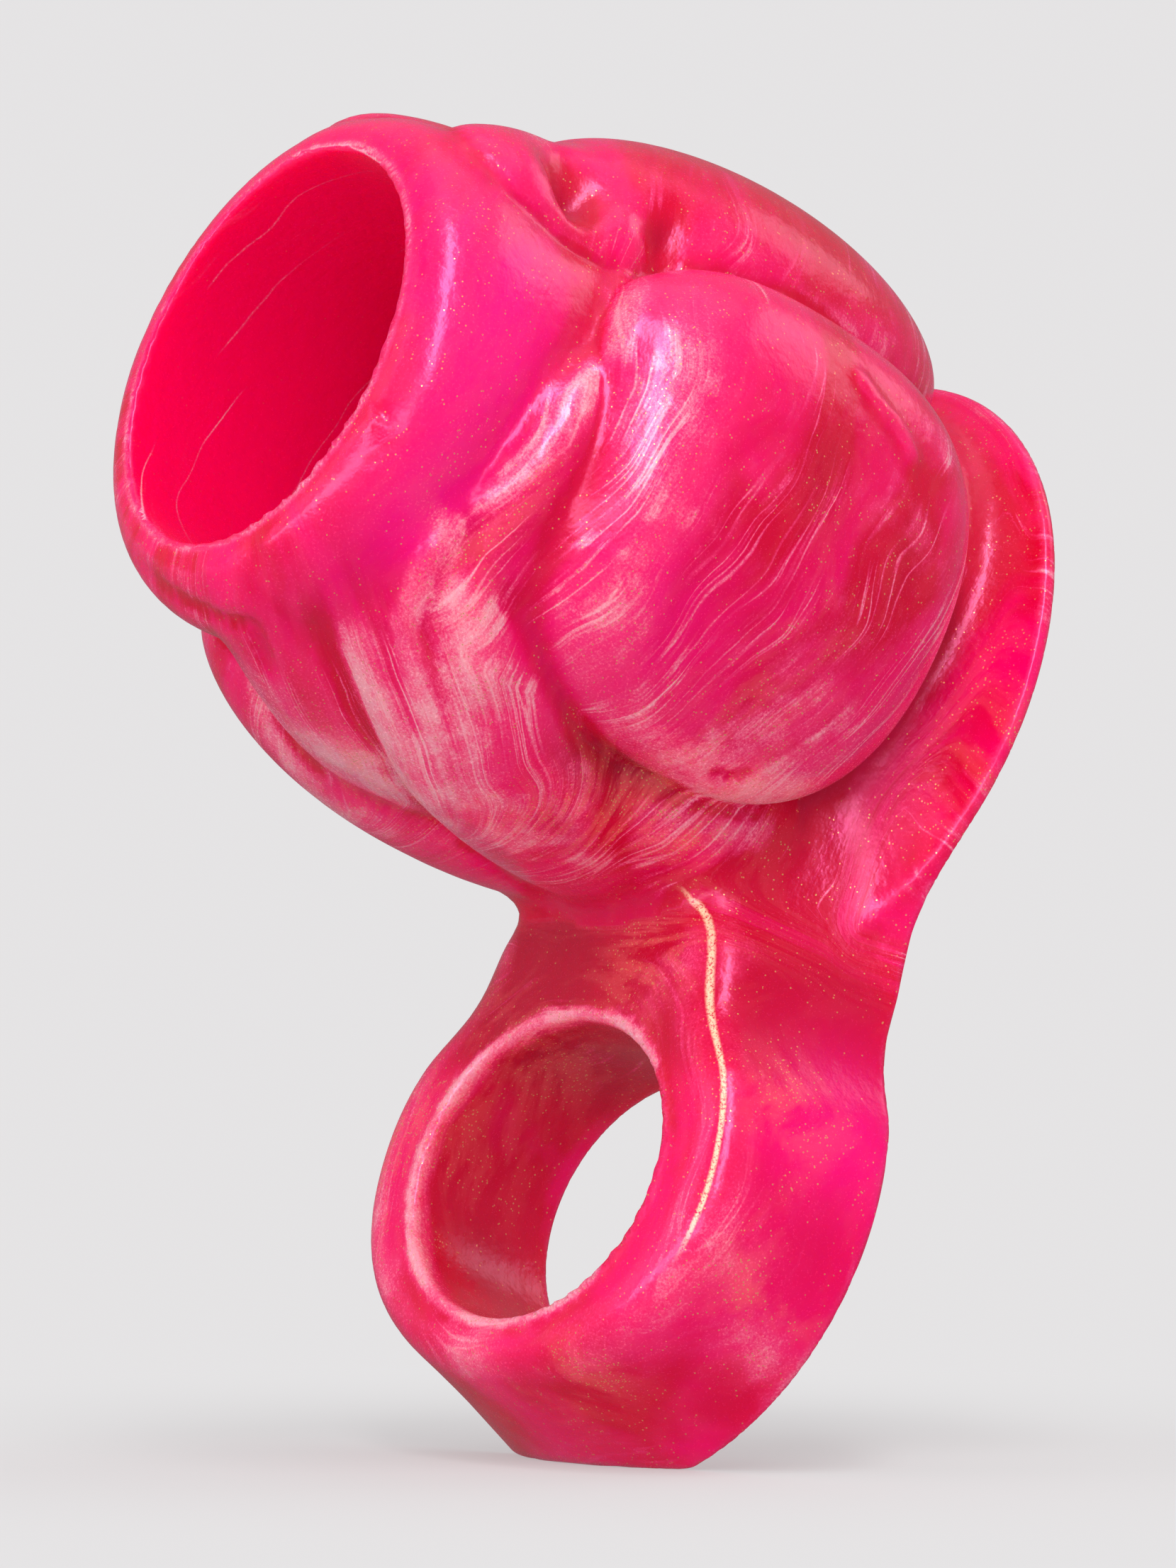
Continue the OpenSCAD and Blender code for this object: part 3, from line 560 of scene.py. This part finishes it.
DEEP = (0.42, 0.0002, 0.018, 1)
CRIMSON = (0.57, 0.0002, 0.026, 1)
HOT_PINK = (0.75, 0.0004, 0.112, 1)
ROSE = (0.80, 0.038, 0.175, 1)
PEARL = (0.84, 0.32, 0.39, 1)
SHINE = (0.93, 0.52, 0.58, 1)
GOLD = (1.0, 0.50, 0.20, 1)
MAGENTA = (0.80, 0.0004, 0.20, 1)
DUST = (0.88, 0.16, 0.15, 1)
BORE = (0.80, 0.0004, 0.082, 1)
# the next colour is the gilt line's: a gold deposit and a painted highlight
GILT_HIGHLIGHT = (1.0, 0.66, 0.44, 1)
MICA_PER_MM, MICA_RARITY = 4.6, 0.991  # cells in a millimetre; a cell is bright when it draws above this
ARCS_PER_MM = 0.19
SKIN_ROUGHNESS = 0.25


def node(kind, **values):
    made = tree.nodes.new(kind)
    for name, value in values.items():
        setattr(made, name, value)
    return made


def feed(socket, value):
    if hasattr(value, "links"):
        tree.links.new(value, socket)
    else:
        socket.default_value = value


def math_node(kind, a, b=0.0, clamp=False):
    made = node("ShaderNodeMath", operation=kind, use_clamp=clamp)
    feed(made.inputs[0], a)
    feed(made.inputs[1], b)
    return made.outputs[0]


def times(a, b, clamp=False):
    return math_node("MULTIPLY", a, b, clamp)


def plus(a, b, clamp=False):
    return math_node("ADD", a, b, clamp)


def minus(a, b, clamp=False):
    return math_node("SUBTRACT", a, b, clamp)


def vector_math(kind, a, b):
    made = node("ShaderNodeVectorMath", operation=kind)
    feed(made.inputs[0], a)
    feed(made.inputs[1], b)
    return made.outputs[0]


def ramp(value, low, high):
    made = node("ShaderNodeMapRange", interpolation_type="SMOOTHSTEP")
    feed(made.inputs["Value"], value)
    feed(made.inputs["From Min"], low)
    feed(made.inputs["From Max"], high)
    return made.outputs["Result"]


def noise(where, scale, detail=3.0, rough=0.5, twist=0.0):
    made = node("ShaderNodeTexNoise")
    feed(made.inputs["Vector"], where)
    made.inputs["Scale"].default_value = scale
    made.inputs["Detail"].default_value = detail
    made.inputs["Roughness"].default_value = rough
    made.inputs["Distortion"].default_value = twist
    return made


def blend(amount, a, b):
    made = node("ShaderNodeMix", data_type="RGBA")
    feed(made.inputs["Factor"], amount)
    feed(made.inputs["A"], a)
    feed(made.inputs["B"], b)
    return made.outputs["Result"]


def attribute(name):
    made = node("ShaderNodeAttribute", attribute_name=name)
    split = node("ShaderNodeSeparateXYZ")
    tree.links.new(made.outputs["Vector"], split.inputs[0])
    return made.outputs["Vector"], split.outputs


per_mm = (1 / MM, 1 / MM, 1 / MM)
millimetres = vector_math("MULTIPLY", node("ShaderNodeTexCoord").outputs["Object"], per_mm)
# the painted guides
flow, _ = attribute("flow")
_, (pearl_and_highlight_in, deep_and_shade_in, gold_in) = attribute("tints")
_, (gilt_highlight_gap_in, well_in, gilt_highlight_in) = attribute("marks")
_, (ridge_in, hollow_shade_in, calm_in) = attribute("relief")
_, (magenta_and_highlight_in, _, _) = attribute("hues")

# the flow, pulled about by slow swirls so that no streak stays straight
swirl = vector_math("SUBTRACT", noise(millimetres, 0.07, 1.0).outputs["Color"], (0.5, 0.5, 0.5))
swirled = vector_math("ADD", flow, vector_math("MULTIPLY", swirl, (7, 12, 12)))
ripple = vector_math("SUBTRACT", noise(millimetres, 0.28, 1.0).outputs["Color"], (0.5, 0.5, 0.5))
swirled = vector_math("ADD", swirled, vector_math("MULTIPLY", ripple, (0.35, 1.0, 1.0)))


def streaked(across, along, detail=3.0, rough=0.55):
    """Noise that changes at these rates, per millimetre, across and along the flow."""
    where = vector_math("MULTIPLY", swirled, (across, along, along))
    return noise(where, 1.0, detail, rough).outputs["Fac"]


def lines(value, half_width):
    """Thin lines where the value passes its middle."""
    gap = math_node("ABSOLUTE", minus(value, 0.5))
    return ramp(gap, half_width, 0.0)


# from the broadest to the finest
broad = streaked(0.10, 0.04)
bands = streaked(0.42, 0.045, 4.0, 0.6)
threads = streaked(1.6, 0.07, 4.0, 0.65)
hairs = streaked(5.0, 0.16)
bundle = streaked(0.17, 0.04, 2.0)
filaments = lines(streaked(0.62, 0.03, 1.5), 0.04)
grain = noise(millimetres, 4.2, 2.0, 0.7).outputs["Fac"]
clouds = noise(millimetres, 0.14, 4.0, 0.6).outputs["Fac"]

# pearl pigment, with the painted highlights the pearl guide carries: streaked where the guides ask for it,
# clouds, threads and a few fine lines elsewhere
outside = minus(1.0, times(well_in, 0.85))
streak = plus(times(ramp(bands, 0.40, 0.66), 0.45), times(ramp(threads, 0.42, 0.72), 0.55))
streak = plus(streak, times(ramp(hairs, 0.48, 0.78), 0.35))
even = plus(0.30, times(ramp(clouds, 0.38, 0.60), 0.32))
guided = times(pearl_and_highlight_in, plus(times(streak, 0.30), even))
cloudy = times(ramp(clouds, 0.50, 0.68), plus(times(streak, 0.34), 0.03))
drawn = times(ramp(bundle, 0.46, 0.60), times(filaments, plus(times(hairs, 0.7), 0.05)))
wisps = times(ramp(bundle, 0.48, 0.66), times(ramp(threads, 0.50, 0.74), 0.36))
loose = times(plus(cloudy, wisps), outside)
taken = times(plus(well_in, pearl_and_highlight_in), 0.45)
drawn = times(drawn, minus(1.0, taken, clamp=True))
loose = plus(loose, drawn)
loose = times(loose, minus(1.0, calm_in))

# thin arcs round the bore, one every few millimetres along it where the bundles of streaks are
flow_parts = node("ShaderNodeSeparateXYZ")
tree.links.new(swirled, flow_parts.inputs[0])
arc_gap = minus(math_node("FRACT", times(flow_parts.outputs[0], ARCS_PER_MM)), 0.5)
arcs = times(ramp(math_node("ABSOLUTE", arc_gap), 0.045, 0.0), ramp(bundle, 0.46, 0.56))
loose = plus(loose, times(times(arcs, well_in), 0.55))

# the whole of it: more on ridges, partly pearl and partly a painted highlight on the crests, less in
# hollows as painted shade, broken up by the grain
ridge_pearl_and_highlight = times(times(ridge_in, outside), 0.22)
pearl_and_highlight_amount = plus(plus(guided, ridge_pearl_and_highlight), loose)
pearl_and_highlight_amount = times(pearl_and_highlight_amount, plus(times(grain, 1.3), 0.32))
pearl_and_highlight_amount = minus(pearl_and_highlight_amount, times(hollow_shade_in, 0.25), clamp=True)

# deep crimson where the pigment is thin, plus painted shade in the hollows and from the deep guides
thin_and_shade = plus(ramp(broad, 0.42, 0.62), deep_and_shade_in)
thin_and_shade = plus(thin_and_shade, times(hollow_shade_in, 0.7))
unpearled = minus(1.0, times(pearl_and_highlight_amount, 0.8))
thin_and_shade = times(thin_and_shade, unpearled, clamp=True)

# gold mica: tiny cells, a few of them bright, gathered in clusters along the flow
cells = node("ShaderNodeTexVoronoi")
feed(cells.inputs["Vector"], millimetres)
cells.inputs["Scale"].default_value = MICA_PER_MM
cell_pick = node("ShaderNodeSeparateColor")
tree.links.new(cells.outputs["Color"], cell_pick.inputs[0])
mica_round = ramp(cells.outputs["Distance"], 0.42, 0.25)
cluster = ramp(streaked(0.45, 0.14, 4.0, 0.65), 0.42, 0.62)
mica_share = times(cluster, plus(times(gold_in, 0.42), times(pearl_and_highlight_amount, 0.08)))
lit = math_node("GREATER_THAN", plus(cell_pick.outputs[0], mica_share), MICA_RARITY)
mica = times(times(mica_round, lit), outside)

# the gilt line down the neck, a gold deposit and a painted highlight, a little wavy and broken by the
# grain
gilt_highlight_wave = plus(gilt_highlight_gap_in, times(minus(bands, 0.5), 0.3))
gilt_highlight_line = times(gilt_highlight_in, ramp(math_node("ABSOLUTE", gilt_highlight_wave), 0.38, 0.10))
gilt_highlight_line = times(gilt_highlight_line, ramp(grain, 0.30, 0.55))

# the colours over one another, from the body colour to the gilt line's painted highlight
colour = blend(thin_and_shade, HOT_PINK, CRIMSON)
# deep crimson, which also paints shade where the deep guides say
colour = blend(ramp(deep_and_shade_in, 0.4, 1.3), colour, DEEP)
colour = blend(magenta_and_highlight_in, colour, MAGENTA)
colour = blend(well_in, colour, BORE)
colour = blend(ramp(pearl_and_highlight_amount, 0.08, 0.55), colour, ROSE)
colour = blend(ramp(pearl_and_highlight_amount, 0.30, 0.85), colour, PEARL)
colour = blend(ramp(pearl_and_highlight_amount, 0.80, 1.30), colour, SHINE)
film = times(times(cluster, gold_in), 0.38, clamp=True)
colour = blend(film, colour, DUST)
colour = blend(times(mica, 0.85, clamp=True), colour, GOLD)
colour = blend(times(gilt_highlight_line, 0.95, clamp=True), colour, GILT_HIGHLIGHT)
tree.links.new(colour, shader.inputs["Base Color"])

# pearl and mica are a little metallic, and the grain roughens the skin
shiny = plus(times(pearl_and_highlight_amount, 0.22), mica)
tree.links.new(times(shiny, 0.5, clamp=True), shader.inputs["Metallic"])
rough = plus(SKIN_ROUGHNESS, times(minus(grain, 0.5), 0.18))
tree.links.new(rough, shader.inputs["Roughness"])

# small lumps, grain and streaks in relief
lumps = noise(millimetres, 0.55, 3.0, 0.55).outputs["Fac"]
skin = plus(times(lumps, 0.35), plus(times(grain, 0.008), times(threads, 0.08)))
bump = node("ShaderNodeBump")
bump.inputs["Strength"].default_value = 0.35
bump.inputs["Distance"].default_value = 0.001
tree.links.new(skin, bump.inputs["Height"])
tree.links.new(bump.outputs["Normal"], shader.inputs["Normal"])

# light soaks into the silicone; the skin itself is smooth, with a thin clear film
shader.inputs["Subsurface Weight"].default_value = 0.55
shader.inputs["Subsurface Radius"].default_value = (1.0, 0.05, 0.14)
shader.inputs["Subsurface Scale"].default_value = 0.007
shader.inputs["Specular IOR Level"].default_value = 0.9
shader.inputs["Specular Tint"].default_value = (1.0, 0.24, 0.60, 1)
shader.inputs["Coat Weight"].default_value = 0.10
shader.inputs["Coat Roughness"].default_value = 0.16
shader.inputs["Sheen Weight"].default_value = 0.04
shader.inputs["Sheen Roughness"].default_value = 0.3
shader.inputs["Sheen Tint"].default_value = (1.0, 0.55, 0.66, 1)
casting.data.materials.append(silicone)

# ---------------------------------------------------------------- floor, light and camera

BACKDROP, PAPER = (0.785, 0.772, 0.779, 1), (0.575, 0.584, 0.583, 1)
WORLD_LIGHT, WORLD_REFLECTED = 0.88, 0.32  # the world's strength as light, and in a reflection
FLOOR_REFLECTED = 0.20  # the floor's strength in a reflection
# the floor takes the shadow near the casting and turns into the backdrop further out, distances in metres
FLOOR_NEAR, FLOOR_FAR, FLOOR_EVEN = 0.02, 0.15, 0.48

world = bpy.data.worlds.new("studio")
bpy.context.scene.world = world
world.use_nodes = True
sky = world.node_tree.nodes["Background"]
sky.inputs["Color"].default_value = BACKDROP
seen = world.node_tree.nodes.new("ShaderNodeLightPath")
plain = world.node_tree.nodes.new("ShaderNodeMix")
plain.inputs["A"].default_value = WORLD_LIGHT
plain.inputs["B"].default_value = WORLD_REFLECTED
world.node_tree.links.new(seen.outputs["Is Glossy Ray"], plain.inputs["Factor"])
direct = world.node_tree.nodes.new("ShaderNodeMix")
direct.inputs["B"].default_value = 1.0
world.node_tree.links.new(plain.outputs["Result"], direct.inputs["A"])
world.node_tree.links.new(seen.outputs["Is Camera Ray"], direct.inputs["Factor"])
world.node_tree.links.new(direct.outputs["Result"], sky.inputs["Strength"])

bpy.ops.mesh.primitive_grid_add(x_subdivisions=8, y_subdivisions=8, size=6, location=(0, 0, 0))
floor = bpy.context.object
floor.name = "floor"
floor.data.materials.append(bpy.data.materials.new("paper"))
paper = floor.data.materials[0]
paper.use_nodes = True
paper_shader = paper.node_tree.nodes["Principled BSDF"]
paper_shader.inputs["Base Color"].default_value = PAPER
paper_shader.inputs["Roughness"].default_value = 0.9
paper_shader.inputs["Specular IOR Level"].default_value = 0.1
far_away = paper.node_tree.nodes.new("ShaderNodeEmission")
far_away.inputs["Color"].default_value = BACKDROP
spread = paper.node_tree.nodes.new("ShaderNodeVectorMath")
spread.operation = "LENGTH"
fade = paper.node_tree.nodes.new("ShaderNodeMapRange")
fade.interpolation_type = "SMOOTHSTEP"
fade.inputs["From Min"].default_value = FLOOR_NEAR
fade.inputs["From Max"].default_value = FLOOR_FAR
fade.inputs["To Min"].default_value = FLOOR_EVEN
mixed = paper.node_tree.nodes.new("ShaderNodeMixShader")
coordinate = paper.node_tree.nodes.new("ShaderNodeTexCoord")
floor_seen = paper.node_tree.nodes.new("ShaderNodeLightPath")
quiet = paper.node_tree.nodes.new("ShaderNodeMixShader")
dim = paper.node_tree.nodes.new("ShaderNodeEmission")
dim.inputs["Color"].default_value = BACKDROP
dim.inputs["Strength"].default_value = FLOOR_REFLECTED
for one, other in (
    (coordinate.outputs["Object"], spread.inputs[0]),
    (spread.outputs["Value"], fade.inputs["Value"]),
    (fade.outputs["Result"], mixed.inputs[0]),
    (paper_shader.outputs[0], mixed.inputs[1]),
    (far_away.outputs[0], mixed.inputs[2]),
    (mixed.outputs[0], quiet.inputs[1]),
    (dim.outputs[0], quiet.inputs[2]),
    (floor_seen.outputs["Is Glossy Ray"], quiet.inputs[0]),
    (quiet.outputs[0], paper.node_tree.nodes["Material Output"].inputs["Surface"]),
):
    paper.node_tree.links.new(one, other)


MIDDLE_HEIGHT, LIGHT_AIM = 0.07, (0, 0, 0.06)


def area_light(name, where, size, power):
    data = bpy.data.lights.new(name, "AREA")
    data.shape = "RECTANGLE"
    data.size, data.size_y = size
    data.energy = power
    lamp = bpy.data.objects.new(name, data)
    lamp.location = where
    lamp.rotation_euler = (Vector(LIGHT_AIM) - Vector(where)).to_track_quat("-Z", "Y").to_euler()
    bpy.context.scene.collection.objects.link(lamp)


def softbox(name, turn, rise, distance, size, power):
    """A soft light round the casting: turn from the mouth's side towards the dome, in degrees."""
    a, e = math.radians(turn), math.radians(rise)
    where = (math.sin(a) * math.cos(e) * distance, -math.cos(a) * math.cos(e) * distance,
             MIDDLE_HEIGHT + math.sin(e) * distance)
    area_light(name, where, size, power)


softbox("strip", 55, 43, 0.9, (0.15, 1.05), 6.6)
softbox("top", 120, 82, 1.0, (1.0, 0.8), 1.2)
softbox("left", -25, 26, 0.9, (0.5, 0.5), 0.7)
softbox("low", 15, 1, 0.9, (1.3, 0.16), 4.2)
softbox("rim", 165, 38, 0.9, (0.45, 0.30), 0.6)

CAMERA_DISTANCE, CAMERA_LENS = 0.600, 144.8
CAMERA_TURN, CAMERA_RISE = math.radians(52.25), math.radians(-2.0)
CAMERA_SIDE, CAMERA_DOWN = -0.02357, -0.01310

back = Vector((math.sin(CAMERA_TURN) * math.cos(CAMERA_RISE),
               -math.cos(CAMERA_TURN) * math.cos(CAMERA_RISE), math.sin(CAMERA_RISE)))
right = Vector((math.cos(CAMERA_TURN), math.sin(CAMERA_TURN), 0))
up = back.cross(right)
eye = Vector((0, AXIS_BACK * MM, AXIS_H * MM)) + back * CAMERA_DISTANCE
eye += right * CAMERA_SIDE + up * CAMERA_DOWN
camera_data = bpy.data.cameras.new("camera")
camera_data.sensor_fit = "AUTO"
camera_data.sensor_width = 36
camera_data.lens = CAMERA_LENS
camera = bpy.data.objects.new("camera", camera_data)
camera.matrix_world = Matrix((
    (right.x, up.x, back.x, eye.x), (right.y, up.y, back.y, eye.y),
    (right.z, up.z, back.z, eye.z), (0, 0, 0, 1)))
bpy.context.scene.collection.objects.link(camera)
bpy.context.scene.camera = camera

bpy.context.scene.view_settings.view_transform = "Standard"
